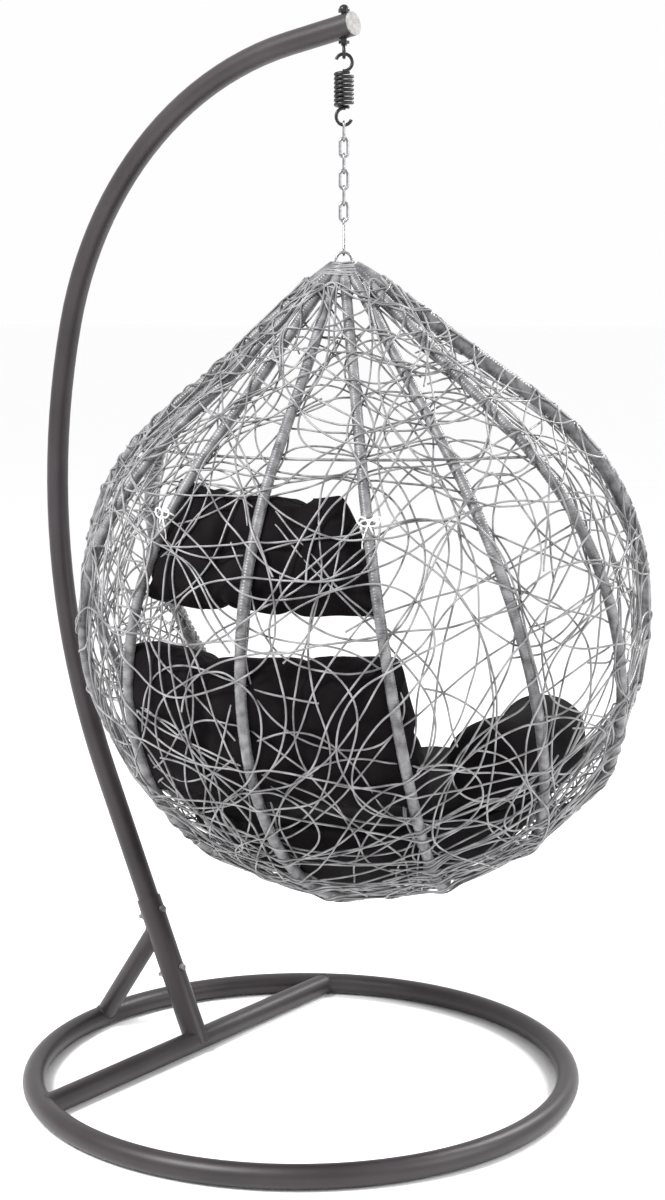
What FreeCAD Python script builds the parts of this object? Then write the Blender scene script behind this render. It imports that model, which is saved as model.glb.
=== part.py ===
import FreeCAD, Part
import math
import os

# Hanging egg chair: a C-shaped floor stand with a spring, a short chain and a woven basket.
# Millimetres. Origin at the centre of the base ring on the floor, +Z up, the arm's foot
# towards +Y, so the basket hangs on the -Y side of the origin and opens towards +X.

os.makedirs("parts", exist_ok=True)
doc = FreeCAD.newDocument("egg_chair")
V = FreeCAD.Vector

DIMENSIONS = (
    ("ring_radius", 504, "base ring centreline radius"),
    ("tube_radius", 21, "base ring, cross bar and arm tube outer radius"),
    ("tube_wall", 2, "wall of the stand's tubes"),
    ("bar_offset", 258, "cross bar distance behind the centre"),
    ("post_foot_y", 267, "where the arm's line meets the foot height"),
    ("post_foot_z", 40, "height of that point"),
    ("post_lean", 24.1, "lean of the post and lower arm in degrees"),
    ("post_length", 275, "post length above the foot point"),
    ("post_radius", 24, "post outer radius"),
    ("post_bore", 21.2, "post inner radius"),
    ("post_root", 30, "post length below the foot point, trimmed to the cross bar"),
    ("bore_run", 10, "extra length of a bore past the post's end"),
    ("arm_start", 90, "arm's lower end inside the post"),
    ("arm_straight", 542, "arm straight length above the foot point"),
    ("arm_radius_low", 1348, "arm bend radius in the lower bow"),
    ("arm_angle_low", 38.7, "arm turn in the lower bow in degrees"),
    ("arm_radius_high", 675, "arm bend radius in the upper bow"),
    ("arm_angle_high", 65.8, "arm turn in the upper bow in degrees"),
    ("arm_tail", 140, "arm straight length at the top"),
    ("brace_radius", 19, "brace outer radius"),
    ("brace_top_y", 352, "brace end on the post"),
    ("brace_top_z", 238, "brace end height"),
    ("bolt_low", 123, "lower post bolt along the post"),
    ("bolt_high", 244, "upper post bolt along the post"),
    ("bolt_radius", 4, "post bolt shank radius"),
    ("bolt_head", 7.5, "post bolt head circumradius"),
    ("bolt_head_height", 5.5, "post bolt head height"),
    ("bolt_tail", 14, "post bolt length past the post, with the nut on it"),
    ("bolt_seat", 0.3, "gap between post and bolt head or nut"),
    ("post_nut_height", 6.5, "post nut height"),
    ("hole_play", 0.1, "radial play of a bolt in its hole"),
    ("thread_play", 0.05, "radial play of a nut on its bolt"),
    ("cap_depth", 9, "end cap plug depth in the arm"),
    ("cap_lip", 3, "end cap face thickness"),
    ("cap_inset", 0.5, "end cap face edge inside the tube's outer radius"),
    ("axis_y", -98, "hanging axis"),
    ("hardware_heading", 36.7, "direction the hook's face looks, from +X in degrees"),
    ("eye_z", 1897.5, "eye centre"),
    ("eye_radius", 10, "eye centreline radius"),
    ("eye_wire", 3, "eye wire radius"),
    ("eye_shank", 5, "eye bolt shank radius"),
    ("shank_rise", 9, "eye bolt shank above the arm's top"),
    ("eye_nut_gap", 0.4, "eye bolt nut above the eye wire"),
    ("eye_nut_height", 5, "eye bolt nut height"),
    ("eye_nut_radius", 9.5, "eye bolt nut circumradius"),
    ("dome_rise", 2, "dome nut's base above the arm's top"),
    ("dome_hex_height", 6, "dome nut hexagon height"),
    ("dome_hex_radius", 10, "dome nut circumradius"),
    ("dome_radius", 9, "dome nut dome radius"),
    ("dome_centre", 5, "dome centre above the dome nut's base"),
    ("dome_bore", 0.3, "dome nut bore past the shank's end"),
    ("hook_radius", 14.5, "spring hook centreline radius"),
    ("hook_wire", 3, "spring hook wire radius"),
    ("hook_play", 0.2, "gap between a hook and what it holds"),
    ("coil_seat", 3.5, "lowest coil wire centre above the lower hook's top"),
    ("hook_turn", 20, "lower hook turned from the upper one in degrees"),
    ("coil_bottom", 1804, "lowest coil wire centre"),
    ("coil_height", 57, "coil height between wire centres"),
    ("coil_pitch", 7.4, "coil pitch"),
    ("coil_radius", 14.75, "coil centreline radius"),
    ("coil_wire", 3.25, "coil wire radius"),
    ("link_radius", 6.75, "chain link end radius"),
    ("link_straight", 19.5, "chain link straight side"),
    ("link_wire", 2.5, "chain wire radius"),
    ("link_play", 0.1, "gap between touching wires"),
    ("s_radius", 9, "S-hook loop radius"),
    ("s_wire", 2.25, "S-hook wire radius"),
    ("s_length", 63.75, "S-hook between end wire centres"),
    ("hang_ring_radius", 14, "basket ring centreline radius"),
    ("hang_ring_wire", 2.35, "basket ring wire radius"),
    ("basket_heading", 12.7, "direction the basket opens, from +X in degrees"),
    ("apex_z", 1534, "top of the basket"),
    ("lip_forward", 482, "front lip ahead of the hanging axis"),
    ("lip_z", 481, "front lip height"),
    ("rib_angle", 20.2, "angle between rib planes in degrees"),
    ("rim_angle", 86, "angle from the middle rib to the rim in degrees"),
    ("rib_radius", 10, "wrapped rib radius"),
    ("rim_radius", 14, "wrapped rim radius"),
    ("lip_pitch", 23, "rib spacing along the lip"),
    ("back_bow_a", 97, "middle rib bow, first swell"),
    ("back_bow_b", -54, "middle rib bow, second swell"),
    ("back_bow_c", -35, "middle rib bow, third swell"),
    ("back_bow_d", -15, "middle rib bow, fourth swell"),
    ("back_bow_e", 1, "middle rib bow, fifth swell"),
    ("rim_bow_a", -91, "rim bow, first swell"),
    ("rim_bow_b", -44, "rim bow, second swell"),
    ("rim_bow_c", -13, "rim bow, third swell"),
    ("rim_bow_d", -17, "rim bow, fourth swell"),
    ("rim_bow_e", -5, "rim bow, fifth swell"),
    ("weave_thickness", 5, "woven skin thickness"),
    ("weave_gap", 2, "gap between a woven panel and the tube beside it"),
    ("crown_base", 68, "crown radius at its base"),
    ("crown_top", 18, "crown radius at its top"),
    ("crown_height", 50, "crown height"),
    ("ring_well", 24, "clear radius round the basket ring above the crown"),
    ("well_depth", 8, "depth of that clear space below the apex"),
    ("well_height", 80, "height of that clear space"),
    ("hoop_z", 1210, "stiffening hoop height"),
    ("hoop_wire", 2.5, "stiffening hoop radius"),
    ("hoop_gap", 0.5, "gap between hoop and ribs"),
    ("hoop_angle", 82.5, "hoop's end from the middle rib in degrees"),
    ("panel_top", 10.5, "upper end of the woven panels, as an angle from the apex"),
    ("panel_end", 163, "lower end of the inner woven panels"),
    ("panel_end_outer", 150, "lower end of the outermost woven panels"),
    ("seat_top", 578, "seat cushion top"),
    ("seat_play", 6, "seat cushion further in than the other cushions"),
    ("cushion_gap", 16, "cushion distance from the rib centrelines"),
    ("back_thickness", 95, "back cushion thickness"),
    ("head_thickness", 75, "head cushion thickness"),
    ("back_top", 885, "back cushion top at the middle rib"),
    ("back_low", 600, "back cushion bottom at the middle rib"),
    ("head_top", 1165, "head cushion top at the middle rib"),
    ("head_low", 968, "head cushion bottom at the middle rib"),
    ("bolster_radius", 78, "armrest cushion radius"),
    ("bolster_rise", 8, "gap between seat and armrest cushions"),
    ("tie_z", 1105, "cushion tie height"),
    ("tie_radius", 12.2, "tie loop radius"),
    ("tie_wire", 1.6, "tie cord radius"),
)

sheet = doc.addObject("Spreadsheet::Sheet", "Dimensions")
for row, (alias, value, note) in enumerate(DIMENSIONS, 1):
    sheet.set("A%d" % row, note)
    sheet.set("B%d" % row, str(value))
    sheet.setAlias("B%d" % row, alias)
doc.recompute()


def dim(alias):
    return float(getattr(sheet, alias))


def bind(item, **expressions):
    for prop, expression in expressions.items():
        item.setExpression(prop, expression)
    return item


def place(item, point, direction=V(0, 0, 1), spin=0.0):
    turn = FreeCAD.Rotation(V(0, 0, 1), direction)
    item.Placement = FreeCAD.Placement(point, turn * FreeCAD.Rotation(V(0, 0, 1), spin))
    return item


NODES = []


def node(item, name, label):
    item.Label = label
    NODES.append((name, item))
    return item


def cylinder(name, radius, length, point, direction=V(0, 0, 1)):
    body = doc.addObject("Part::Cylinder", name)
    bind(body, Radius=radius)
    body.Height = length
    return place(body, point, direction)


def torus(name, major, minor, point, direction=V(0, 0, 1)):
    body = doc.addObject("Part::Torus", name)
    bind(body, Radius1=major, Radius2=minor)
    return place(body, point, direction)


def cut(name, base, tool):
    body = doc.addObject("Part::Cut", name)
    body.Base = base
    body.Tool = tool
    return body


def fuse(name, shapes):
    body = doc.addObject("Part::MultiFuse", name)
    body.Shapes = shapes
    return body


def sweep(name, path_shape, radius, frenet=False):
    path = doc.addObject("Part::Feature", name + "_path")
    path.Shape = path_shape
    first = path_shape.OrderedEdges[0]
    start = first.FirstParameter if first.Orientation == "Forward" else first.LastParameter
    section = doc.addObject("Part::Circle", name + "_section")
    bind(section, Radius=radius)
    place(section, first.valueAt(start), first.tangentAt(start))
    tube = doc.addObject("Part::Sweep", name)
    tube.Sections = [section]
    tube.Spine = (path, ["Edge%d" % (i + 1) for i in range(len(path_shape.Edges))])
    tube.Solid = True
    tube.Frenet = frenet
    return tube


def curve(points):
    spline = Part.BSplineCurve()
    spline.interpolate(points)
    return Part.Wire([spline.toShape()])


def arc(a, b, c):
    return Part.Arc(a, b, c).toShape()


# ---------------------------------------------------------------- stand

lean = math.radians(dim("post_lean"))
along = V(0, math.sin(lean), math.cos(lean))
across = V(0, math.cos(lean), -math.sin(lean))
foot = V(0, dim("post_foot_y"), dim("post_foot_z"))
floor_lift = V(0, 0, dim("tube_radius"))

ring_outer = torus("ring_outer", "Dimensions.ring_radius", "Dimensions.tube_radius", floor_lift)
ring_inner = torus("ring_inner", "Dimensions.ring_radius",
                   "Dimensions.tube_radius - Dimensions.tube_wall", floor_lift)
base_ring = node(cut("base_ring", ring_outer, ring_inner), "base_ring", "Base ring")

half_bar = math.sqrt(dim("ring_radius") ** 2 - dim("bar_offset") ** 2)
bar_start = V(-half_bar, dim("bar_offset"), dim("tube_radius"))
bar_outer = cylinder("bar_outer", "Dimensions.tube_radius", 2 * half_bar, bar_start, V(1, 0, 0))
bar_inner = cylinder("bar_inner", "Dimensions.tube_radius - Dimensions.tube_wall", 2 * half_bar,
                     bar_start, V(1, 0, 0))
bar_tube = cut("bar_tube", bar_outer, bar_inner)
cross_bar = node(cut("cross_bar", bar_tube, ring_outer), "cross_bar", "Cross bar")

# The post is a sleeve that stands on the cross bar and takes the arm's lower end.
post_start = foot - along * dim("post_root")
post_outer = cylinder("post_outer", "Dimensions.post_radius", dim("post_length") + dim("post_root"),
                      post_start, along)
post_inner = cylinder("post_inner", "Dimensions.post_bore",
                      dim("post_length") + dim("post_root") + dim("bore_run"),
                      post_start - along * (dim("bore_run") / 2), along)
post_sleeve = cut("post_sleeve", post_outer, post_inner)
bolt_points = [foot + along * dim(a) for a in ("bolt_low", "bolt_high")]
bolt_reach = dim("post_radius") + dim("bolt_tail")
bolt_holes = []
for i, p in enumerate(bolt_points, 1):
    bolt_holes.append(cylinder("bolt_hole_%d" % i, "Dimensions.bolt_radius + Dimensions.hole_play",
                               2 * bolt_reach, p - across * bolt_reach, across))
bolt_drill = fuse("bolt_drill", bolt_holes)
post_drilled = cut("post_drilled", post_sleeve, bolt_drill)
socket_post = node(cut("socket_post", post_drilled, bar_outer), "socket_post", "Socket post")

brace_foot = V(0, dim("ring_radius"), dim("tube_radius"))
brace_top = V(0, dim("brace_top_y"), dim("brace_top_z"))
brace_run = brace_top - brace_foot
brace_outer = cylinder("brace_outer", "Dimensions.brace_radius", brace_run.Length, brace_foot,
                       brace_run)
brace_inner = cylinder("brace_inner", "Dimensions.brace_radius - Dimensions.tube_wall",
                       brace_run.Length, brace_foot, brace_run)
brace_shell = cut("brace_shell", brace_outer, brace_inner)
brace_off_ring = cut("brace_off_ring", brace_shell, ring_outer)
brace_tube = node(cut("brace_tube", brace_off_ring, post_outer), "brace_tube", "Rear brace")


def arm_path():
    heading = lean
    point = foot + along * dim("arm_start")
    bend = foot + along * dim("arm_straight")
    edges = [Part.makeLine(point, bend)]
    for tag in ("low", "high"):
        radius = dim("arm_radius_" + tag)
        turn = math.radians(dim("arm_angle_" + tag))
        centre = bend + V(0, -math.cos(heading), math.sin(heading)) * radius
        spots = []
        for share in (0.0, 0.5, 1.0):
            angle = heading - turn * share
            spots.append(centre + V(0, math.cos(angle), -math.sin(angle)) * radius)
        edges.append(arc(*spots))
        heading -= turn
        bend = spots[-1]
    end = bend + V(0, math.sin(heading), math.cos(heading)) * dim("arm_tail")
    edges.append(Part.makeLine(bend, end))
    return Part.Wire(edges), bend, end


arm_wire, arm_tail_start, arm_end = arm_path()
arm_outer = sweep("arm_outer", arm_wire, "Dimensions.tube_radius")
arm_inner = sweep("arm_inner", arm_wire, "Dimensions.tube_radius - Dimensions.tube_wall")
arm_shell = cut("arm_shell", arm_outer, arm_inner)
arm_drilled = cut("arm_drilled", arm_shell, bolt_drill)
tail = (arm_end - arm_tail_start).normalize()
axis_base = V(0, dim("axis_y"), 0)
arm_axis_z = arm_end.z - (arm_end.y - dim("axis_y")) * tail.z / tail.y
hole_reach = 2 * dim("tube_radius")
eye_hole = cylinder("eye_hole", "Dimensions.eye_shank + Dimensions.hole_play", 2 * hole_reach,
                    axis_base + V(0, 0, arm_axis_z - hole_reach))
arm_tube = node(cut("arm_tube", arm_drilled, eye_hole), "arm_tube", "C-shaped arm")

cap_plug = cylinder("cap_plug",
                    "Dimensions.tube_radius - Dimensions.tube_wall - Dimensions.hole_play",
                    dim("cap_depth"), arm_end - tail * dim("cap_depth"), tail)
cap_face = cylinder("cap_face", "Dimensions.tube_radius - Dimensions.cap_inset", dim("cap_lip"),
                    arm_end, tail)
arm_end_cap = node(fuse("arm_end_cap", [cap_plug, cap_face]), "arm_end_cap", "Arm end cap")

# Bolts go through post and arm, along the arm's own plane.
bolt_parts = []
nut_parts = []
for i, p in enumerate(bolt_points, 1):
    face = dim("post_radius") + dim("bolt_seat")
    shank = cylinder("bolt_shank_%d" % i, "Dimensions.bolt_radius", 2 * face + dim("bolt_tail"),
                     p - across * face, across)
    head = doc.addObject("Part::Prism", "bolt_head_%d" % i)
    head.Polygon = 6
    bind(head, Circumradius="Dimensions.bolt_head", Height="Dimensions.bolt_head_height")
    place(head, p - across * (face + dim("bolt_head_height")), across)
    bolt_parts += [shank, head]
    nut = doc.addObject("Part::Prism", "post_nut_%d" % i)
    nut.Polygon = 6
    bind(nut, Circumradius="Dimensions.bolt_head", Height="Dimensions.post_nut_height")
    place(nut, p + across * face, across)
    hole = cylinder("post_nut_hole_%d" % i, "Dimensions.bolt_radius + Dimensions.thread_play",
                    3 * dim("post_nut_height"), p + across * (face - dim("post_nut_height")),
                    across)
    nut_parts.append(cut("post_nut_ring_%d" % i, nut, hole))
node(fuse("post_bolts", bolt_parts), "post_bolts", "Post bolts")
node(fuse("post_nuts", nut_parts), "post_nuts", "Post nuts")

# ---------------------------------------------------------------- hanging hardware

heading = math.radians(dim("hardware_heading"))
view = V(math.cos(heading), math.sin(heading), 0)
face_on = V(-math.sin(heading), math.cos(heading), 0)


def on_axis(z, side=V(0, 0, 0), reach=0.0):
    return axis_base + V(0, 0, z) + side * reach


eye_loop = torus("eye_loop", "Dimensions.eye_radius", "Dimensions.eye_wire", on_axis(dim("eye_z")),
                 face_on)
arm_top_z = arm_axis_z + dim("tube_radius") / math.sqrt(1 - tail.z ** 2)
shank_low = dim("eye_z") + dim("eye_radius")
shank_top = arm_top_z + dim("shank_rise")
eye_shank = cylinder("eye_shank", "Dimensions.eye_shank", shank_top - shank_low,
                     on_axis(shank_low))
node(fuse("eye_bolt", [eye_loop, eye_shank]), "eye_bolt", "Eye bolt")


def nut_on_axis(name, low, height, radius):
    body = doc.addObject("Part::Prism", name + "_hex")
    body.Polygon = 6
    body.Circumradius = radius
    body.Height = height
    place(body, on_axis(low))
    hole = cylinder(name + "_hole", "Dimensions.eye_shank + Dimensions.thread_play", 3 * height,
                    on_axis(low - height))
    return body, hole


nut_low = dim("eye_z") + dim("eye_radius") + dim("eye_wire") + dim("eye_nut_gap")
hex_low, hole_low = nut_on_axis("eye_nut", nut_low, dim("eye_nut_height"),
                                dim("eye_nut_radius"))
node(cut("eye_nut", hex_low, hole_low), "eye_nut", "Eye bolt nut")
dome_low = arm_top_z + dim("dome_rise")
dome_hex = doc.addObject("Part::Prism", "dome_hex")
dome_hex.Polygon = 6
bind(dome_hex, Circumradius="Dimensions.dome_hex_radius", Height="Dimensions.dome_hex_height")
place(dome_hex, on_axis(dome_low))
dome = doc.addObject("Part::Sphere", "dome")
bind(dome, Radius="Dimensions.dome_radius")
place(dome, on_axis(dome_low + dim("dome_centre")))
skirt_height = 2 * dim("dome_radius")
dome_hole = cylinder("dome_hole", "Dimensions.eye_shank + Dimensions.thread_play",
                     skirt_height + dim("dome_bore"), on_axis(shank_top - skirt_height))
dome_skirt = cylinder("dome_skirt", "Dimensions.dome_hex_radius * 2", skirt_height,
                      on_axis(dome_low - skirt_height))
dome_full = fuse("dome_full", [dome_hex, dome])
dome_trim = cut("dome_trim", dome_full, dome_skirt)
node(cut("dome_nut", dome_trim, dome_hole), "dome_nut", "Dome nut")


def loop_points(centre, side, radius, degrees):
    return [centre + side * (radius * math.cos(math.radians(a)))
            + V(0, 0, radius * math.sin(math.radians(a))) for a in degrees]


hook_top_z = (dim("eye_z") - dim("eye_radius") + dim("eye_wire") + dim("hook_wire")
              + dim("hook_play"))
top_centre = on_axis(hook_top_z - dim("hook_radius"))
top_hook_arc = arc(*loop_points(top_centre, face_on * -1, dim("hook_radius"), (160, 30, -100)))
node(sweep("spring_top_hook", Part.Wire([top_hook_arc]), "Dimensions.hook_wire"),
     "spring_top_hook", "Spring top hook")

helix = doc.addObject("Part::Helix", "coil_path")
bind(helix, Pitch="Dimensions.coil_pitch", Height="Dimensions.coil_height",
     Radius="Dimensions.coil_radius")
place(helix, on_axis(dim("coil_bottom")))
coil_section = doc.addObject("Part::Circle", "coil_section")
bind(coil_section, Radius="Dimensions.coil_wire")
place(coil_section, on_axis(dim("coil_bottom"), V(1, 0, 0), dim("coil_radius")), V(0, 1, 0))
coil = doc.addObject("Part::Sweep", "spring_coil")
coil.Sections = [coil_section]
coil.Spine = (helix, ["Edge1"])
coil.Solid = True
coil.Frenet = True
node(coil, "spring_coil", "Spring coil")

low_turn = heading + math.radians(dim("hook_turn"))
low_side = V(-math.sin(low_turn), math.cos(low_turn), 0)
low_top_z = dim("coil_bottom") - dim("coil_seat")
low_centre = on_axis(low_top_z - dim("hook_radius"))
low_hook_arc = arc(*loop_points(low_centre, low_side, dim("hook_radius"), (-160, -30, 100)))
node(sweep("spring_bottom_hook", Part.Wire([low_hook_arc]), "Dimensions.hook_wire"),
     "spring_bottom_hook", "Spring bottom hook")


def link_wire(top, side):
    radius = dim("link_radius")
    high = top - V(0, 0, radius)
    low = high - V(0, 0, dim("link_straight"))
    right = side * radius
    return Part.Wire([
        Part.makeLine(high + right, low + right),
        arc(low + right, low - V(0, 0, radius), low - right),
        Part.makeLine(low - right, high - right),
        arc(high - right, high + V(0, 0, radius), high + right)])


link_count = 6
link_span = dim("link_straight") + 2 * dim("link_radius")
link_pitch = link_span - 2 * dim("link_wire") - dim("link_play")
link_top = (low_top_z - 2 * dim("hook_radius") + dim("hook_wire") + dim("link_wire")
            + dim("hook_play"))
for i in range(link_count):
    side = view if i % 2 == 0 else face_on
    path = link_wire(on_axis(link_top - i * link_pitch), side)
    name = "chain_link_%d" % (i + 1)
    node(sweep(name, path, "Dimensions.link_wire"), name, "Chain link %d" % (i + 1))

chain_foot = link_top - (link_count - 1) * link_pitch - link_span
s_top = chain_foot + dim("link_wire") + dim("s_wire") + dim("link_play")
s_bottom = s_top - dim("s_length")
s_high = on_axis(s_top - dim("s_radius"))
s_low = on_axis(s_bottom + dim("s_radius"))
s_slant = math.degrees(math.asin(2 * dim("s_radius") / (s_high.z - s_low.z)))
s_arc_high = loop_points(s_high, view, dim("s_radius"), (170, 75, -s_slant))
s_arc_low = loop_points(s_low, view, dim("s_radius"), (180 - s_slant, 255, 350))
s_wire = Part.Wire([arc(*s_arc_high), Part.makeLine(s_arc_high[2], s_arc_low[0]),
                    arc(*s_arc_low)])
node(sweep("s_hook", s_wire, "Dimensions.s_wire"), "s_hook", "S-hook")

ring_top = s_bottom + dim("s_wire") + dim("hang_ring_wire") + dim("hook_play")
hang_ring = node(torus("hang_ring", "Dimensions.hang_ring_radius", "Dimensions.hang_ring_wire",
                       on_axis(ring_top - dim("hang_ring_radius")), view),
                 "hang_ring", "Basket ring")

# ---------------------------------------------------------------- basket frame
# Every tube of the basket lies in a plane through the apex and its own landing on the lip.
# In that plane it bows out by a sum of five swells, which blend from middle rib to rim.

turn = math.radians(dim("basket_heading"))
forward = V(math.cos(turn), math.sin(turn), 0)
left = V(-math.sin(turn), math.cos(turn), 0)
apex = on_axis(dim("apex_z"))
lip = on_axis(dim("lip_z"), forward, dim("lip_forward"))
middle = (apex + lip) * 0.5
chord = lip - apex
half_chord = chord.Length / 2
chord.normalize()
backward = left.cross(chord)
if backward.dot(forward) > 0:
    backward = backward * -1
BACK_BOW = [dim("back_bow_" + tag) for tag in "abcde"]
RIM_BOW = [dim("rim_bow_" + tag) for tag in "abcde"]
RIM_CHI = math.radians(dim("rim_angle"))
RIB_STEP = math.radians(dim("rib_angle"))
RIBS_EACH_SIDE = 3


def reach(theta, chi, half):
    """Distance from the middle of a tube's chord to the tube."""
    share = math.sin(chi) ** 2
    total = half
    for k, (back, rim) in enumerate(zip(BACK_BOW, RIM_BOW), 1):
        total += (back * (1 - share) + rim * share) * math.sin(k * theta)
    return total


def bowed(theta, chi, landing):
    """Point on the tube in the plane at angle chi that runs from the apex to the landing."""
    span = landing - apex
    half = span.Length / 2
    span.normalize()
    out = backward * math.cos(chi) + left * math.sin(chi)
    out = (out - span * out.dot(span)).normalize()
    size = reach(theta, chi, half)
    centre = (apex + landing) * 0.5
    return centre - span * (size * math.cos(theta)) + out * (size * math.sin(theta))


def landing_at(chi):
    """Ribs land side by side along the lip, so their lower ends fan out from its middle."""
    last = RIBS_EACH_SIDE * RIB_STEP
    offset = dim("lip_pitch") * chi / RIB_STEP
    if abs(chi) > last:
        offset *= max(0.0, (RIM_CHI - abs(chi)) / (RIM_CHI - last)) * last / abs(chi)
    theta = math.pi - math.asin(abs(offset) / half_chord)
    return bowed(theta, math.copysign(RIM_CHI, chi), lip)


def surface(theta, chi):
    return bowed(theta, chi, landing_at(chi))


def normal(theta, chi):
    step = 0.002
    one = surface(theta + step, chi) - surface(theta - step, chi)
    two = surface(theta, chi + step) - surface(theta, chi - step)
    flat = one.cross(two).normalize()
    if flat.dot(surface(theta, chi) - middle) < 0:
        flat = flat * -1
    return flat


def theta_at(z, chi):
    low, high = 0.05, 0.8 * math.pi
    for _ in range(40):
        mid = (low + high) / 2
        if surface(mid, chi).z > z:
            low = mid
        else:
            high = mid
    return low


crown_low = on_axis(dim("apex_z") - dim("crown_height"))
crown_cone = doc.addObject("Part::Cone", "crown_cone")
bind(crown_cone, Radius1="Dimensions.crown_base", Radius2="Dimensions.crown_top",
     Height="Dimensions.crown_height")
place(crown_cone, crown_low)
node(cut("crown", crown_cone, hang_ring), "crown", "Crown binding")

RIM_SAMPLES = 17
RIB_START = 0.045
RIB_END = math.pi - 0.012
ring_well = cylinder("ring_well", "Dimensions.ring_well", dim("well_height"),
                     on_axis(dim("apex_z") - dim("well_depth")))
rims = {}
for tag, sign in (("left", 1), ("right", -1)):
    points = [surface(math.pi * i / (RIM_SAMPLES - 1), sign * RIM_CHI)
              for i in range(RIM_SAMPLES)]
    tube = sweep("rim_%s_tube" % tag, curve(points), "Dimensions.rim_radius")
    trimmed = cut("rim_%s_trimmed" % tag, tube, crown_cone)
    rims[tag] = cut("rim_" + tag, trimmed, ring_well)
node(rims["left"], "rim_left", "Left rim tube")
rims["right"] = cut("rim_right_butt", rims["right"], rims["left"])
node(rims["right"], "rim_right", "Right rim tube")

rib_number = 0
for i in range(-RIBS_EACH_SIDE, RIBS_EACH_SIDE + 1):
    rib_number += 1
    chi = i * RIB_STEP
    points = [surface(RIB_START + (RIB_END - RIB_START) * j / (RIM_SAMPLES - 1), chi)
              for j in range(RIM_SAMPLES)]
    name = "rib_%d" % rib_number
    tube = sweep(name + "_tube", curve(points), "Dimensions.rib_radius")
    tube = cut(name + "_crown", tube, crown_cone)
    if i <= 0:
        tube = cut(name + "_right", tube, rims["right"])
    if i >= 0:
        tube = cut(name + "_left", tube, rims["left"])
    node(tube, name, "Basket rib %d" % rib_number)

hoop_inset = dim("rib_radius") + dim("hoop_wire") + dim("hoop_gap")
hoop_points = []
for i in range(-8, 9):
    chi = math.radians(dim("hoop_angle")) * i / 8
    theta = theta_at(dim("hoop_z"), chi)
    hoop_points.append(surface(theta, chi) - normal(theta, chi) * hoop_inset)
node(sweep("hoop", curve(hoop_points), "Dimensions.hoop_wire"), "hoop", "Stiffening hoop")


# ---------------------------------------------------------------- woven panels and cushions

def grid_face(rows):
    patch = Part.BSplineSurface()
    patch.interpolate(rows)
    return patch


def panel(theta_range, chi_range, outer, inner, steps=(11, 5)):
    """Closed solid between two offsets of the basket surface."""
    count_t, count_c = steps
    skins = []
    for offset in (outer, inner):
        rows = []
        for i in range(count_t):
            row = []
            for j in range(count_c):
                share = j / (count_c - 1)
                low_t, high_t = theta_range(chi_range(0.5 * math.pi)[0] * (1 - share)
                                            + chi_range(0.5 * math.pi)[1] * share)
                theta = low_t + (high_t - low_t) * i / (count_t - 1)
                low_c, high_c = chi_range(theta)
                chi = low_c + (high_c - low_c) * share
                row.append(surface(theta, chi) + normal(theta, chi) * offset)
            rows.append(row)
        skins.append(grid_face(rows))
    faces = [skin.toShape() for skin in skins]
    for fixed, along_u in ((0, True), (1, True), (0, False), (1, False)):
        edges = []
        for skin in skins:
            u0, u1, v0, v1 = skin.bounds()
            if along_u:
                edges.append(skin.vIso(v1 if fixed else v0).toShape())
            else:
                edges.append(skin.uIso(u1 if fixed else u0).toShape())
        faces.append(Part.makeRuledSurface(edges[0], edges[1]))
    shell = Part.makeShell(faces)
    shell.sewShape()
    solid = Part.makeSolid(Part.Shell(shell.Faces))
    if solid.Volume < 0:
        solid.reverse()
    return solid


def clear_angle(theta, chi, tube):
    distance = reach(theta, chi, half_chord) * math.sin(theta)
    return math.asin(min(0.9, (tube + dim("weave_gap")) / distance))


edges = [-RIM_CHI] + [i * RIB_STEP for i in range(-RIBS_EACH_SIDE, RIBS_EACH_SIDE + 1)] + [RIM_CHI]
weave_half = dim("weave_thickness") / 2
for i, (low, high) in enumerate(zip(edges, edges[1:]), 1):
    outermost = i in (1, len(edges) - 1)
    low_tube = dim("rim_radius") if i == 1 else dim("rib_radius")
    high_tube = dim("rim_radius") if i == len(edges) - 1 else dim("rib_radius")
    span = (math.radians(dim("panel_top")),
            math.radians(dim("panel_end_outer" if outermost else "panel_end")))

    def chi_range(theta, low=low, high=high, low_tube=low_tube, high_tube=high_tube):
        return (low + clear_angle(theta, low, low_tube),
                high - clear_angle(theta, high, high_tube))

    gore = doc.addObject("Part::Feature", "weave_panel_%d" % i)
    gore.Shape = panel(lambda chi, span=span: span, chi_range, weave_half, -weave_half)
    node(gore, "weave_panel_%d" % i, "Woven panel %d" % i)


def pad(name, label, top_z, bottom_z, top_angles, bottom_angles, thickness):
    """Cushion that follows the basket wall; the angles are its two edges, right and left."""
    def chi_range(theta):
        high, low = theta_at(top_z, 0), theta_at(bottom_z, 0)
        share = min(1.0, max(0.0, (theta - high) / (low - high)))
        return [math.radians(one * (1 - share) + two * share)
                for one, two in zip(top_angles, bottom_angles)]

    item = doc.addObject("Part::Feature", name)
    item.Shape = panel(lambda chi: (theta_at(top_z, chi), theta_at(bottom_z, chi)), chi_range,
                       -dim("cushion_gap"), -dim("cushion_gap") - thickness, (7, 5))
    return node(item, name, label)


# Right and left edge of each cushion in degrees from the middle rib, at its top and bottom.
BACK_EDGES = ((-22.5, 22), (-23, 22.5))
HEAD_EDGES = ((-16, 27), (-20.5, 20.5))
pad("back_cushion", "Back cushion", dim("back_top"), dim("back_low"), *BACK_EDGES,
    dim("back_thickness"))
pad("head_cushion", "Head cushion", dim("head_top"), dim("head_low"), *HEAD_EDGES,
    dim("head_thickness"))


def inside(point, margin):
    """True if the point lies within the basket, at least the margin from its tubes."""
    offset = point - middle
    run = offset.dot(chord)
    chi = math.atan2(offset.dot(left), offset.dot(backward))
    if abs(chi) > math.radians(88):
        return False
    theta = math.acos(max(-1.0, min(1.0, -run / offset.Length)))
    return offset.Length < reach(theta, chi, half_chord) - margin


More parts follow.
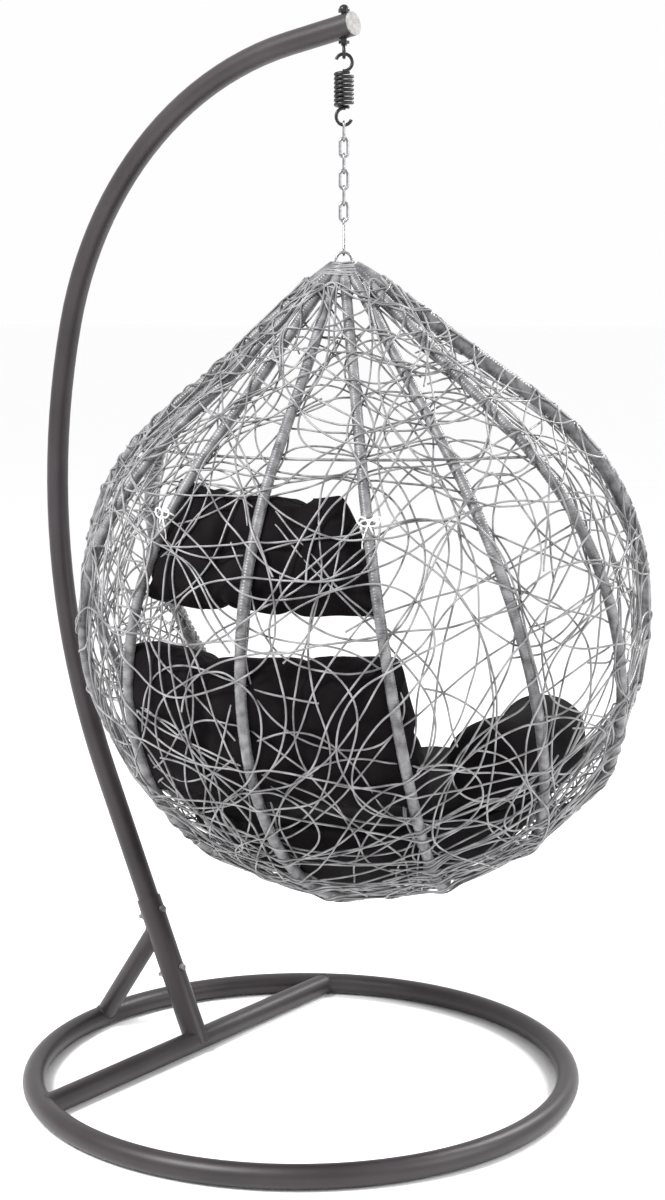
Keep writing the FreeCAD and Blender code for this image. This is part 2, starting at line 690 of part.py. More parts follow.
def bowl_section(z, centre, margin, count=20):
    """Closed outline of the basket's inside at one height."""
    points = []
    for i in range(count):
        angle = 2 * math.pi * i / count
        ray = forward * math.cos(angle) + left * math.sin(angle)
        low, high = 0.0, 700.0
        for _ in range(30):
            mid = (low + high) / 2
            if inside(on_axis(z, forward, centre) + ray * mid, margin):
                low = mid
            else:
                high = mid
        points.append(on_axis(z, forward, centre) + ray * low)
    outline = Part.BSplineCurve()
    outline.interpolate(points, PeriodicFlag=True)
    return Part.Wire([outline.toShape()])


# Seat cushion: fills the bowl of the basket up to the seat top. Height and centre ahead.
SEAT_SECTIONS = ((388, 150), (408, 145), (440, 130), (485, 105), (532, 80), (dim("seat_top"), 55))
sections = []
for i, (z, centre) in enumerate(SEAT_SECTIONS, 1):
    outline = doc.addObject("Part::Feature", "seat_section_%d" % i)
    outline.Shape = bowl_section(z, centre, dim("cushion_gap") + dim("seat_play"))
    sections.append(outline)
seat = doc.addObject("Part::Loft", "seat_cushion")
seat.Sections = sections
seat.Solid = True
seat.Ruled = False
node(seat, "seat_cushion", "Seat cushion")

# Armrest cushions: fat rolls with round ends on both edges of the seat. Forward and side.
BOLSTER_LINE = ((-20, 298), (55, 316), (125, 322), (195, 316), (250, 300))
bolster_z = dim("seat_top") + dim("bolster_radius") + dim("bolster_rise")
for tag, sign in (("left", 1), ("right", -1)):
    points = [on_axis(bolster_z, forward, a) + left * (sign * b) for a, b in BOLSTER_LINE]
    name = "armrest_cushion_" + tag
    roll = sweep(name + "_roll", curve(points), "Dimensions.bolster_radius")
    parts = [roll]
    for j in (0, -1):
        end = doc.addObject("Part::Sphere", "%s_end_%d" % (name, j + 1))
        bind(end, Radius="Dimensions.bolster_radius")
        parts.append(place(end, points[j]))
    node(fuse(name, parts), name, "%s armrest cushion" % tag.capitalize())

# White cords tie the head cushion to the ribs beside the middle one.
for tag, sign in (("left", 1), ("right", -1)):
    chi = sign * RIB_STEP
    theta = theta_at(dim("tie_z"), chi)
    run = (surface(theta + 0.01, chi) - surface(theta - 0.01, chi)).normalize()
    name = "tie_" + tag
    node(torus(name, "Dimensions.tie_radius", "Dimensions.tie_wire", surface(theta, chi), run),
         name, "%s cushion tie" % tag.capitalize())

doc.recompute()

for item in doc.Objects:
    if "Invalid" in item.State or "Error" in item.State:
        raise RuntimeError("%s did not build" % item.Name)

for name, item in NODES:
    shape = item.Shape
    if shape.isNull() or not shape.isValid():
        raise RuntimeError("%s has a bad shape" % name)
    shape.exportStep("parts/%s.step" % name)
    print(name, "solids", len(shape.Solids), "volume %.0f" % shape.Volume)
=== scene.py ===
import bpy
import math
import random
import numpy as np
from mathutils import Vector, Matrix


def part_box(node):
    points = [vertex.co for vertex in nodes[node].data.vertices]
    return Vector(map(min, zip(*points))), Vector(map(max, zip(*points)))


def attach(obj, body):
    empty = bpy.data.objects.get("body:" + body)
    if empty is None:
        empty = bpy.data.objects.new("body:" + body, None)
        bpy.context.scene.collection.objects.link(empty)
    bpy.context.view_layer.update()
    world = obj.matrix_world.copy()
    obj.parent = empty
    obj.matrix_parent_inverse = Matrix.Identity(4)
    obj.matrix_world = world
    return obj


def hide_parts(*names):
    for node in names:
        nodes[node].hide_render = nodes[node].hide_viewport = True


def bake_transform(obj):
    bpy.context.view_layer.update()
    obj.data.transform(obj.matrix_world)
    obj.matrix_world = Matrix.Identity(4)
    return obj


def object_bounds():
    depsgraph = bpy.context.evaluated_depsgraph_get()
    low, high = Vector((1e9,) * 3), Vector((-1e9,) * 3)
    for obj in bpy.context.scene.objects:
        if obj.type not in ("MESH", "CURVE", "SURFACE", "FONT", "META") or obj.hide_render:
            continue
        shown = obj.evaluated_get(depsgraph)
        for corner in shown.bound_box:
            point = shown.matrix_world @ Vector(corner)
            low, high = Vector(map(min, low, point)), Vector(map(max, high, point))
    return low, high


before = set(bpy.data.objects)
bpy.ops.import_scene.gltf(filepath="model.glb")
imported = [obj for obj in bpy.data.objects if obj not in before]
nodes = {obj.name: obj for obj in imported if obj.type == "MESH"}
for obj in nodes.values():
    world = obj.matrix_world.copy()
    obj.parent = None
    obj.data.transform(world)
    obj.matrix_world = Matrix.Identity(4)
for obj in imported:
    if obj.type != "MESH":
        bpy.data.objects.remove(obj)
cad_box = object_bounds()
rng = random.Random(7)

# ------------------------------------------------------------------ layout, in metres
AXIS = np.array([0.0, -0.098, 0.0])
HEADING = math.radians(12.7)
FORWARD = np.array([math.cos(HEADING), math.sin(HEADING), 0.0])
LEFT = np.array([-math.sin(HEADING), math.cos(HEADING), 0.0])
UP = np.array([0.0, 0.0, 1.0])
APEX = AXIS + UP * 1.534
LIP = AXIS + FORWARD * 0.482 + UP * 0.481
BACK_BOW = (0.097, -0.054, -0.035, -0.015, 0.001)
RIM_BOW = (-0.091, -0.044, -0.013, -0.017, -0.005)
RIM_CHI = math.radians(86)
RIB_STEP = math.radians(20.2)
RIB_R, RIM_R = 0.010, 0.014
LIP_PITCH = 0.023
RIB_END = math.pi - 0.012
STRAND_R = 0.0018
TURN_R = 0.0152
MAIN = LIP - APEX
HALF = np.linalg.norm(MAIN) / 2
MAIN = MAIN / (2 * HALF)
BACKWARD = np.cross(LEFT, MAIN)
if BACKWARD @ FORWARD > 0:
    BACKWARD = -BACKWARD


def reach(theta, chi, half):
    share = math.sin(chi) ** 2
    total = half
    for k in range(5):
        total += (BACK_BOW[k] * (1 - share) + RIM_BOW[k] * share) * math.sin((k + 1) * theta)
    return total


def bowed(theta, chi, landing):
    span = landing - APEX
    half = np.linalg.norm(span) / 2
    span = span / (2 * half)
    out = BACKWARD * math.cos(chi) + LEFT * math.sin(chi)
    out = out - span * (out @ span)
    out = out / np.linalg.norm(out)
    size = reach(theta, chi, half)
    return (APEX + landing) / 2 - span * size * math.cos(theta) + out * size * math.sin(theta)


def landing_at(chi):
    last = 3 * RIB_STEP
    offset = LIP_PITCH * chi / RIB_STEP
    if abs(chi) > last:
        offset *= max(0.0, (RIM_CHI - abs(chi)) / (RIM_CHI - last)) * last / abs(chi)
    theta = math.pi - math.asin(min(1.0, abs(offset) / HALF))
    return bowed(theta, math.copysign(RIM_CHI, chi), LIP)


def surface(theta, chi):
    return bowed(theta, chi, landing_at(chi))


MIDDLE = (APEX + LIP) / 2


# ------------------------------------------------------------------ materials
def material(name, dark, light, rough, metallic=0.0, grain=60.0, bump=0.15, fine=900.0,
             sheen=0.0, coat=0.0, spread=0.08, gloss=0.5):
    mat = bpy.data.materials.new(name)
    mat.use_nodes = True
    tree = mat.node_tree
    shader = tree.nodes["Principled BSDF"]
    coords = tree.nodes.new("ShaderNodeTexCoord")
    big = tree.nodes.new("ShaderNodeTexNoise")
    big.inputs["Scale"].default_value = grain
    big.inputs["Detail"].default_value = 6.0
    ramp = tree.nodes.new("ShaderNodeValToRGB")
    ramp.color_ramp.elements[0].position = 0.32
    ramp.color_ramp.elements[1].position = 0.68
    ramp.color_ramp.elements[0].color = (*dark, 1.0)
    ramp.color_ramp.elements[1].color = (*light, 1.0)
    small = tree.nodes.new("ShaderNodeTexNoise")
    small.inputs["Scale"].default_value = fine
    small.inputs["Detail"].default_value = 4.0
    lift = tree.nodes.new("ShaderNodeBump")
    lift.inputs["Strength"].default_value = bump
    lift.inputs["Distance"].default_value = 0.0006
    spans = tree.nodes.new("ShaderNodeMapRange")
    spans.inputs["To Min"].default_value = max(0.02, rough - spread)
    spans.inputs["To Max"].default_value = min(1.0, rough + spread)
    link = tree.links.new
    link(coords.outputs["Object"], big.inputs["Vector"])
    link(coords.outputs["Object"], small.inputs["Vector"])
    link(big.outputs["Fac"], ramp.inputs["Fac"])
    link(ramp.outputs["Color"], shader.inputs["Base Color"])
    link(small.outputs["Fac"], spans.inputs["Value"])
    link(spans.outputs["Result"], shader.inputs["Roughness"])
    link(small.outputs["Fac"], lift.inputs["Height"])
    link(lift.outputs["Normal"], shader.inputs["Normal"])
    shader.inputs["Metallic"].default_value = metallic
    shader.inputs["Sheen Weight"].default_value = sheen
    shader.inputs["Specular IOR Level"].default_value = gloss
    shader.inputs["Coat Weight"].default_value = coat
    return mat


PAINT = material("stand_powder_coat", (0.017, 0.013, 0.015), (0.027, 0.021, 0.024), 0.38,
                 grain=9, bump=0.35, fine=1400, spread=0.06, gloss=0.45)
BLACK = material("black_oxide_steel", (0.012, 0.012, 0.013), (0.03, 0.03, 0.032), 0.34,
                 metallic=0.6, grain=70, bump=0.2, fine=1800)
ZINC = material("zinc_plate", (0.20, 0.20, 0.21), (0.36, 0.36, 0.37), 0.30, metallic=1.0,
                grain=160, bump=0.12, fine=2500, spread=0.10)
CAP = material("end_cap_plastic", (0.16, 0.155, 0.15), (0.30, 0.29, 0.28), 0.62, grain=120,
               bump=0.6, fine=500)
WRAP = material("rattan_wrap", (0.060, 0.060, 0.063), (0.215, 0.213, 0.22), 0.31, grain=45,
                bump=0.25, fine=1600, spread=0.10)
STRAND = material("rattan_strand", (0.080, 0.079, 0.083), (0.30, 0.298, 0.305), 0.30, grain=28,
                  bump=0.25, fine=1500, spread=0.10)
CORD = material("white_cord", (0.70, 0.70, 0.69), (0.86, 0.86, 0.85), 0.8, grain=400, bump=0.6,
                fine=1800)
FABRIC = material("cushion_fabric", (0.0034, 0.0026, 0.0032), (0.0075, 0.0060, 0.0070), 0.9,
                  grain=22, bump=0.5, fine=1300, sheen=0.01, spread=0.06, gloss=0.06)
FLOOR = material("studio_floor", (0.983, 0.983, 0.983), (0.990, 0.990, 0.990), 0.9, grain=2,
                 bump=0.02, fine=300)


def coat(obj, mat):
    obj.data.materials.clear()
    obj.data.materials.append(mat)
    return obj


for name in ("base_ring", "cross_bar", "socket_post", "brace_tube", "arm_tube"):
    coat(nodes[name], PAINT)
for name in ("eye_bolt", "eye_nut", "dome_nut", "spring_top_hook", "spring_bottom_hook",
             "spring_coil"):
    coat(nodes[name], BLACK)
for name in (["post_bolts", "post_nuts", "s_hook", "hang_ring"]
             + ["chain_link_%d" % i for i in range(1, 7)]):
    coat(nodes[name], ZINC)
coat(nodes["arm_end_cap"], CAP)
coat(nodes["hoop"], STRAND)
for name in ("tie_left", "tie_right"):
    coat(nodes[name], CORD)


# ------------------------------------------------------------------ shapes
def mesh_object(name, verts, faces, mat):
    mesh = bpy.data.meshes.new(name)
    mesh.from_pydata([tuple(v) for v in verts], [], faces)
    mesh.polygons.foreach_set("use_smooth", [True] * len(mesh.polygons))
    mesh.update()
    obj = bpy.data.objects.new(name, mesh)
    bpy.context.scene.collection.objects.link(obj)
    obj.data.materials.append(mat)
    return obj


def frames_along(path):
    """Turn-free cross directions at each point of a path."""
    tangents = np.gradient(path, axis=0)
    tangents /= np.linalg.norm(tangents, axis=1)[:, None]
    side = np.cross(tangents[0], [0.3, 0.5, 0.8])
    side /= np.linalg.norm(side)
    sides = []
    for t in tangents:
        side = side - t * (side @ t)
        side /= np.linalg.norm(side)
        sides.append(side)
    sides = np.array(sides)
    return tangents, sides, np.cross(tangents, sides)


def resample(path, gap):
    steps = np.linalg.norm(np.diff(path, axis=0), axis=1)
    length = np.concatenate([[0], np.cumsum(steps)])
    count = max(3, int(length[-1] / gap))
    places = np.linspace(0, length[-1], count)
    return np.stack([np.interp(places, length, path[:, i]) for i in range(3)], 1), places


def tube(name, path, radius_at, around, mat):
    """Closed tube whose radius is radius_at(distance, angle)."""
    points, places = path
    _, one, two = frames_along(points)
    angles = np.arange(around) * 2 * math.pi / around
    verts = []
    for p, s, a, b in zip(points, places, one, two):
        for angle in angles:
            r = radius_at(s, angle)
            verts.append(p + a * (r * math.cos(angle)) + b * (r * math.sin(angle)))
    faces = []
    rows = len(points)
    for i in range(rows - 1):
        for j in range(around):
            k = (j + 1) % around
            faces.append((i * around + j, i * around + k, (i + 1) * around + k,
                          (i + 1) * around + j))
    faces.append(tuple(range(around - 1, -1, -1)))
    faces.append(tuple((rows - 1) * around + j for j in range(around)))
    return mesh_object(name, verts, faces, mat)


def wrapped(name, theta_low, theta_high, chi, radius, pitch, mat):
    """A tube bound in flat strand: each turn is a low crown with a crease beside it."""
    thetas = np.linspace(theta_low, theta_high, 220)
    path = np.array([surface(t, chi) for t in thetas])
    wobble = [rng.uniform(-1, 1) for _ in range(700)]

    def radius_at(s, angle):
        turn = s / pitch + angle / (2 * math.pi)
        phase = turn - math.floor(turn)
        crown = 1 - abs(2 * phase - 1) ** 3
        return radius - 0.0011 + 0.0009 * crown + 0.0002 * wobble[int(turn) % 700]

    return tube(name, resample(path, pitch / 5), radius_at, 14, mat)


for tag, sign in (("left", 1), ("right", -1)):
    rim = wrapped("rim_wrap_" + tag, 0.035, math.pi, sign * RIM_CHI, RIM_R, 0.0055, WRAP)
    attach(rim, "basket")
    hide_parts("rim_" + tag)
for i in range(-3, 4):
    rib = wrapped("rib_wrap_%d" % (i + 4), 0.020, RIB_END, i * RIB_STEP, RIB_R, 0.0052, WRAP)
    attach(rib, "basket")
    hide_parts("rib_%d" % (i + 4))


# ------------------------------------------------------------------ random weave
def strand_curve(name, lines, radius, mat):
    curve = bpy.data.curves.new(name, "CURVE")
    curve.dimensions = "3D"
    curve.bevel_depth = radius
    curve.bevel_resolution = 1
    curve.resolution_u = 2
    curve.use_fill_caps = True
    for line in lines:
        spline = curve.splines.new("NURBS")
        spline.points.add(len(line) - 1)
        spline.points.foreach_set("co", [c for p in line for c in (p[0], p[1], p[2], 1.0)])
        spline.order_u = 4
        spline.use_endpoint_u = True
    obj = bpy.data.objects.new(name, curve)
    bpy.context.scene.collection.objects.link(obj)
    obj.data.materials.append(mat)
    return obj


# Surface and slopes on a grid, looked up by interpolation while strands are laid.
GRID_T = np.linspace(0.06, math.pi - 0.06, 150)
GRID_C = np.linspace(-RIM_CHI, RIM_CHI, 121)
SKIN = np.array([[surface(t, c) for c in GRID_C] for t in GRID_T])
SLOPE_T = np.gradient(SKIN, GRID_T, axis=0)
SLOPE_C = np.gradient(SKIN, GRID_C, axis=1)
FLAT = np.cross(SLOPE_T, SLOPE_C)
FLAT /= np.linalg.norm(FLAT, axis=2)[:, :, None]
FLAT *= np.sign(((SKIN - MIDDLE) * FLAT).sum(2))[:, :, None]


def look(theta, chi):
    u = (theta - GRID_T[0]) / (GRID_T[1] - GRID_T[0])
    v = (chi - GRID_C[0]) / (GRID_C[1] - GRID_C[0])
    i = min(max(int(u), 0), len(GRID_T) - 2)
    j = min(max(int(v), 0), len(GRID_C) - 2)
    u, v = min(max(u - i, 0), 1), min(max(v - j, 0), 1)
    out = []
    for field in (SKIN, SLOPE_T, SLOPE_C, FLAT):
        out.append((field[i, j] * (1 - u) + field[i + 1, j] * u) * (1 - v)
                   + (field[i, j + 1] * (1 - u) + field[i + 1, j + 1] * u) * v)
    out[3] = out[3] / np.linalg.norm(out[3])
    return out


def rib_distance(theta, chi):
    nearest = max(-3, min(3, round(chi / RIB_STEP))) * RIB_STEP
    span = reach(theta, chi, HALF) * math.sin(theta)
    return abs(chi - nearest) * span, (RIM_CHI - abs(chi)) * span


EDGE = RIM_CHI - math.radians(0.8)
T_LOW, T_HIGH = 0.11, math.pi - 0.11
STEP = 0.014


def walk(theta, chi, heading, length, bias, swing=1.0):
    """A strand laid over the basket: it wanders, hugs the ribs and turns back round the rim."""
    side = 1 if rng.random() < 0.62 else -1
    lift = rng.uniform(-0.0018, 0.0018)
    bend = rng.uniform(-5, 5) * swing
    line = []
    for _ in range(int(length / STEP)):
        place, du, dv, flat = look(theta, chi)
        close, rim = rib_distance(theta, chi)
        hug = 0.0100 * math.exp(-(close / 0.017) ** 2) + 0.0135 * math.exp(-(rim / 0.022) ** 2)
        line.append(place + flat * (side * (0.0028 + hug) + lift))
        bend += rng.gauss(0, 2.7) * swing - 0.13 * bend
        heading += max(-15.0, min(15.0, bend)) * STEP
        if bias:
            target = 0.0 if math.cos(heading) > 0 else math.pi
            turn = (target - heading + math.pi) % (2 * math.pi) - math.pi
            heading += bias * turn
        e1 = dv / np.linalg.norm(dv)
        e2 = du - e1 * (du @ e1)
        e2 = e2 / np.linalg.norm(e2)
        move = (e1 * math.cos(heading) + e2 * math.sin(heading)) * STEP
        gram = np.array([[du @ du, du @ dv], [du @ dv, dv @ dv]])
        dt, dc = np.linalg.solve(gram, np.array([move @ du, move @ dv]))
        theta += dt
        chi += dc
        if theta < T_LOW or theta > T_HIGH:
            theta = min(max(theta, T_LOW), T_HIGH)
            heading = -heading
        if abs(chi) > EDGE:
            chi = math.copysign(EDGE, chi)
            _, du, dv, flat = look(theta, chi)
            outward = dv / np.linalg.norm(dv) * (1 if chi > 0 else -1)
            centre = surface(theta, math.copysign(RIM_CHI, chi))
            for k in range(1, 6):
                angle = math.pi * k / 6
                line.append(centre + flat * (side * TURN_R * math.cos(angle))
                            + outward * (TURN_R * math.sin(angle)))
            side = -side
            heading = math.pi - heading
            bend = 0.0
    return line


CELL = 0.055
LONG_STRANDS, LEVEL_STRANDS, TOP_STRANDS = 74, 16, 8
covered = {}


def cells(line):
    return [tuple(int(math.floor(c / CELL)) for c in p) for p in line]


def lay(tries, theta_range, length_range, bias, swing, level):
    """Of several strands, keeps the one that crosses the barest part of the basket."""
    best, best_score = None, 1e9
    for _ in range(tries):
        heading = (rng.choice((0.0, math.pi)) + rng.uniform(-0.4, 0.4)) if level \
            else rng.uniform(0, 2 * math.pi)
        line = walk(rng.uniform(*theta_range), rng.uniform(-1.45, 1.45), heading,
                    rng.uniform(*length_range), bias, swing)
        score = sum(covered.get(c, 0) for c in cells(line)) / len(line)
        if score < best_score:
            best, best_score = line, score
    for c in cells(best):
        covered[c] = covered.get(c, 0) + 1
    return best


lines = []
for _ in range(LONG_STRANDS):
    lines.append(lay(4, (0.3, 2.85), (2.4, 4.0), 0.0, 1.0, False))
for _ in range(LEVEL_STRANDS):
    lines.append(lay(2, (1.8, 2.6), (1.6, 2.6), 0.05, 0.6, True))
for _ in range(TOP_STRANDS):
    lines.append(lay(2, (0.16, 0.6), (0.8, 1.4), 0.0, 0.8, False))
LOW = np.array(cad_box[0]) + STRAND_R
HIGH = np.array(cad_box[1]) - STRAND_R
lines = [[np.clip(p, LOW, HIGH) for p in line] for line in lines]
weave = strand_curve("random_weave", lines, STRAND_R, STRAND)
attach(weave, "basket")
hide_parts(*["weave_panel_%d" % i for i in range(1, 9)])

# The crown: ribs and rim meet on a small core, bound over with turns of strand.
core_path = np.array([APEX - UP * d for d in np.linspace(0.006, 0.040, 12)])
core = tube("crown_core", (core_path, np.linspace(0, 0.034, 12)),
            lambda s, a: 0.010 + 0.42 * s + 0.0010 * math.sin(a * 9 + 300 * s), 36, WRAP)
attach(core, "basket")
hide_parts("crown")
turns = []
for k in range(11):
    depth = rng.uniform(0.008, 0.030)
    tilt = rng.uniform(-0.005, 0.005)
    phase = rng.uniform(0, 6.28)
    line = []
    for j in range(34):
        angle = phase + j * 2 * math.pi * rng.uniform(1.0, 1.02) * 1.1 / 33
        drop = max(0.004, depth + tilt * math.sin(angle))
        r = 0.012 + 1.02 * drop
        line.append(AXIS + FORWARD * (r * math.cos(angle) * 0.92) + LEFT * (r * math.sin(angle))
                    + UP * (1.534 - drop + 0.006))
    turns.append(line)
binding = strand_curve("crown_turns", turns, STRAND_R, STRAND)
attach(binding, "basket")

# ------------------------------------------------------------------ spring
coil_z, coil_h, coil_pitch = 1.804, 0.057, 0.0074
COIL_R, COIL_WIRE = 0.01475, 0.00325
count = int(coil_h / coil_pitch * 40)
helix = []
for i in range(count + 1):
    turn = coil_h / coil_pitch * 2 * math.pi * i / count
    helix.append(AXIS + np.array([COIL_R * math.cos(turn), COIL_R * math.sin(turn),
                                  coil_z + coil_h * i / count]))
helix = np.array(helix)
gaps = np.concatenate([[0], np.cumsum(np.linalg.norm(np.diff(helix, axis=0), axis=1))])
coil = tube("spring_wire", (helix, gaps), lambda s, a: COIL_WIRE, 14, BLACK)
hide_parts("spring_coil")
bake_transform(coil)


# ------------------------------------------------------------------ welds
def bead(name, points, thickness):
    """Rippled weld bead along a joint."""
    points = resample(np.array(points), 0.002)[0]
    points[:, 2] = np.maximum(points[:, 2], thickness * 1.15)
    places = np.arange(len(points)) * 0.002
    obj = tube(name, (points, places),
               lambda s, a: thickness * (1 + 0.14 * math.sin(s * 1900)), 8, PAINT)
    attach(obj, "stand")
    return obj


def joint(start, direction, radius, depth_in, count=72):
    """Where a tube meets another: depth_in is negative inside the other one."""
    direction = np.array(direction, float)
    direction /= np.linalg.norm(direction)
    a = np.cross(direction, [0.31, 0.2, 0.9])
    a /= np.linalg.norm(a)
    b = np.cross(direction, a)
    points = []
    for i in range(count + 1):
        t = 2 * math.pi * i / count
        edge = np.array(start) + (a * math.cos(t) + b * math.sin(t)) * radius
        low, high = 0.0, 0.09
        for _ in range(30):
            mid = (low + high) / 2
            if depth_in(edge + direction * mid) < 0:
                low = mid
            else:
                high = mid
        points.append(edge + direction * high)
    return points


def in_ring(p):
    return math.hypot(math.hypot(p[0], p[1]) - 0.504, p[2] - 0.021) - 0.021


LEAN = math.radians(24.1)
ALONG = np.array([0.0, math.sin(LEAN), math.cos(LEAN)])
FOOT = np.array([0.0, 0.267, 0.040])


def in_post(p):
    offset = p - FOOT
    return np.linalg.norm(offset - ALONG * (offset @ ALONG)) - 0.024


bar_y = 0.258
half_bar = math.sqrt(0.504 ** 2 - bar_y ** 2)
for tag, sign in (("left", -1), ("right", 1)):
    bead("weld_bar_" + tag, joint((sign * half_bar, bar_y, 0.021), (-sign, 0, 0), 0.0205, in_ring),
         0.0022)
brace_low = np.array([0.0, 0.504, 0.021])
brace_high = np.array([0.0, 0.352, 0.238])
bead("weld_brace_foot", joint(brace_low, brace_high - brace_low, 0.0190, in_ring), 0.0022)
bead("weld_brace_top", joint(brace_high, brace_low - brace_high, 0.0190, in_post), 0.0022)

# ------------------------------------------------------------------ cushions
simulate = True


def cushion(name, source, voxel, cap, pressure=4.0, seams=None,
            wrinkle=0.0022, drop=0.0):
    """A copy of a CAD cushion, puffed up as cloth, creased and seamed."""
    mesh = nodes[source].data.copy()
    obj = bpy.data.objects.new(name, mesh)
    bpy.context.scene.collection.objects.link(obj)
    bpy.context.view_layer.objects.active = obj
    for other in bpy.context.selected_objects:
        other.select_set(False)
    obj.select_set(True)
    coat(obj, FABRIC)
    remesh = obj.modifiers.new("remesh", "REMESH")
    remesh.mode = "VOXEL"
    remesh.voxel_size = voxel
    bpy.ops.object.modifier_apply(modifier=remesh.name)
    soften = obj.modifiers.new("soften", "SMOOTH")
    soften.iterations = 14
    soften.factor = 0.6
    bpy.ops.object.modifier_apply(modifier=soften.name)
    rest = np.empty(len(obj.data.vertices) * 3)
    obj.data.vertices.foreach_get("co", rest)
    rest = rest.reshape(-1, 3)
    if simulate:
        cloth = obj.modifiers.new("cloth", "CLOTH")
        cloth.settings.quality = 5
        cloth.settings.use_pressure = True
        cloth.settings.uniform_pressure_force = pressure
        cloth.settings.effector_weights.gravity = 0.0
        cloth.settings.tension_stiffness = 12
        cloth.settings.compression_stiffness = 12
        cloth.settings.bending_stiffness = 0.4
        cloth.settings.shrink_min = -0.04
        cloth.collision_settings.use_collision = False
        cloth.point_cache.frame_start = 1
        cloth.point_cache.frame_end = 20
        for f in range(1, 21):
            bpy.context.scene.frame_set(f)
        bpy.ops.object.modifier_apply(modifier=cloth.name)
        bpy.context.scene.frame_set(1)
    now = np.empty(len(obj.data.vertices) * 3)
    obj.data.vertices.foreach_get("co", now)
    now = now.reshape(-1, 3)
    move = now - rest
    size = np.linalg.norm(move, axis=1)
    size[size == 0] = 1
    move *= np.minimum(1, cap / size)[:, None]
    now = rest + move - UP * drop
    if wrinkle:
        normals = np.empty(len(obj.data.vertices) * 3)
        obj.data.vertices.foreach_get("normal", normals)
        now = now + normals.reshape(-1, 3) * wavy(now, wrinkle, 34.0, len(name))[:, None]
    if seams:
        normals = np.empty(len(obj.data.vertices) * 3)
        obj.data.vertices.foreach_get("normal", normals)
        normals = normals.reshape(-1, 3)
        for depth, width, distance in seams(now):
            now = now - normals * (depth * np.exp(-(distance / width) ** 2))[:, None]
    obj.data.vertices.foreach_set("co", now.reshape(-1))
    obj.data.update()
    obj.data.polygons.foreach_set("use_smooth", [True] * len(obj.data.polygons))
    sub = obj.modifiers.new("subdivide", "SUBSURF")
    sub.levels = 1
    sub.render_levels = 1
    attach(obj, "basket")
    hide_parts(source)
    return obj


def local(points):
    """Forward, side and height of points in the basket's own directions."""
    offset = points - AXIS
    return offset @ FORWARD, offset @ LEFT, points[:, 2]


def wavy(points, amount, scale, seed):
    """Shallow uneven folds."""
    a, b, z = local(points)
    warp = 0.7 * np.sin(b * scale * 0.55 + z * scale * 0.4 + seed)
    folds = np.sin(a * scale + 2.1 * warp + seed) * np.cos(b * scale * 1.2 + warp + 2 * seed)
    return amount * (folds + 0.7 * np.sin(z * scale * 1.6 + b * scale * 0.5 + 2.4 * warp))


def back_seams(p):
    a, b, z = local(p)
    out = []
    for line in (-0.085, 0.085):
        out.append((0.011, 0.016, b - line))
    for height in (0.76,):
        out.append((0.008, 0.016, z - height))
    return out


def head_seams(p):
    a, b, z = local(p)
    return [(0.010, 0.014, b + 0.06), (0.010, 0.014, b - 0.06)]


def seat_seams(p):
    a, b, z = local(p)
    return [(0.006, 0.012, z - 0.560)]


cushion("back_pad", "back_cushion", 0.007, 0.012, 4.0, back_seams)
cushion("head_pad", "head_cushion", 0.006, 0.012, 4.0, head_seams)
cushion("seat_pad", "seat_cushion", 0.010, 0.008, 3.0, seat_seams)
for tag in ("left", "right"):
    cushion("armrest_pad_" + tag, "armrest_cushion_" + tag, 0.007, 0.010, 4.0, None,
            drop=0.010)


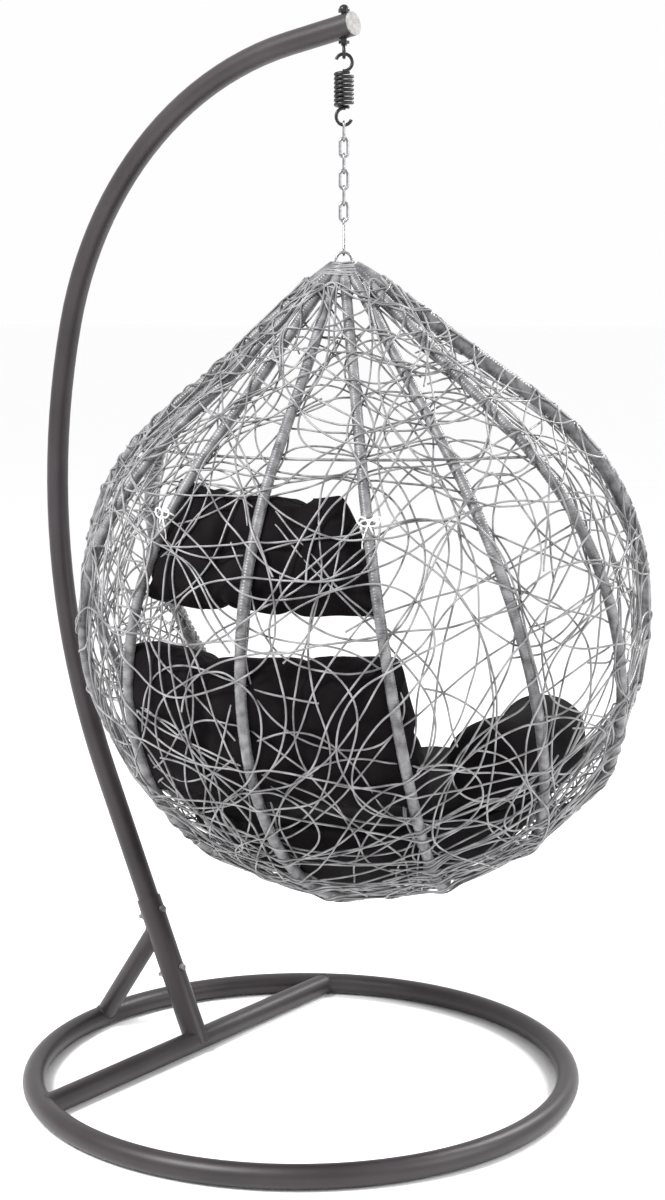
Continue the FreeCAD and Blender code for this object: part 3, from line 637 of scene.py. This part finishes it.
# ------------------------------------------------------------------ cushion ties
def bow(tag):
    """Two loops and two tails tied in front of a cushion tie."""
    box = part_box("tie_" + tag)
    centre = (np.array(box[0]) + np.array(box[1])) / 2
    out = centre - (AXIS + UP * centre[2])
    out /= np.linalg.norm(out)
    across = np.cross(UP, out)
    knot = centre + out * 0.0155
    loops = []
    for s in (-1, 1):
        line = []
        for j in range(15):
            t = math.pi * 2 * j / 14
            line.append(knot + across * (s * 0.016 * (1 - math.cos(t)) / 1.6)
                        + UP * (0.007 * math.sin(t) * s + 0.004 * (1 - math.cos(t)))
                        + out * (0.002 * math.sin(t)))
        loops.append(line)
        loops.append([knot, knot + across * s * 0.006 - UP * 0.012 + out * 0.002,
                      knot + across * s * 0.012 - UP * 0.028,
                      knot + across * s * 0.010 - UP * 0.040])
    obj = strand_curve("bow_" + tag, loops, 0.0015, CORD)
    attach(obj, "basket")


bow("left")
bow("right")

# ------------------------------------------------------------------ studio
bpy.ops.mesh.primitive_plane_add(size=400, location=(0, 0, -0.0005))
floor = bpy.context.object
floor.name = "studio_floor"
coat(floor, FLOOR)

world = bpy.data.worlds.new("studio")
bpy.context.scene.world = world
world.use_nodes = True
world.node_tree.nodes["Background"].inputs["Color"].default_value = (1.0, 1.0, 1.0, 1.0)
world.node_tree.nodes["Background"].inputs["Strength"].default_value = 0.99


def area_light(name, place, target, size, power):
    lamp = bpy.data.lights.new(name, "AREA")
    lamp.shape = "DISK"
    lamp.size = size
    lamp.energy = power
    obj = bpy.data.objects.new(name, lamp)
    bpy.context.scene.collection.objects.link(obj)
    obj.location = place
    obj.rotation_euler = (Vector(target) - Vector(place)).to_track_quat("-Z", "Y").to_euler()


area_light("key", (-3.0, 0.9, 3.8), (0, 0, 0.9), 1.6, 230)
area_light("fill", (0.6, -3.6, 2.0), (0, 0, 0.9), 2.0, 60)
area_light("rim", (2.8, -1.2, 3.2), (0, 0, 0.9), 1.2, 110)

ALPHA = math.radians(36.73)


def to_row(x, y, z):
    return Vector((x * math.sin(ALPHA) + y * math.cos(ALPHA),
                   -x * math.cos(ALPHA) + y * math.sin(ALPHA), z))


camera_data = bpy.data.cameras.new("camera")
camera_data.lens = 62.05
camera_data.sensor_width = 36.0
camera = bpy.data.objects.new("camera", camera_data)
bpy.context.scene.collection.objects.link(camera)
pitch, yaw = 0.1374, 0.0157
camera.location = to_row(0, -3.78, 1.442)
gaze = to_row(math.sin(yaw) * math.cos(pitch), math.cos(yaw) * math.cos(pitch), -math.sin(pitch))
camera.rotation_euler = gaze.to_track_quat("-Z", "Y").to_euler()
bpy.context.scene.camera = camera

scene = bpy.context.scene
scene.view_settings.view_transform = "Standard"
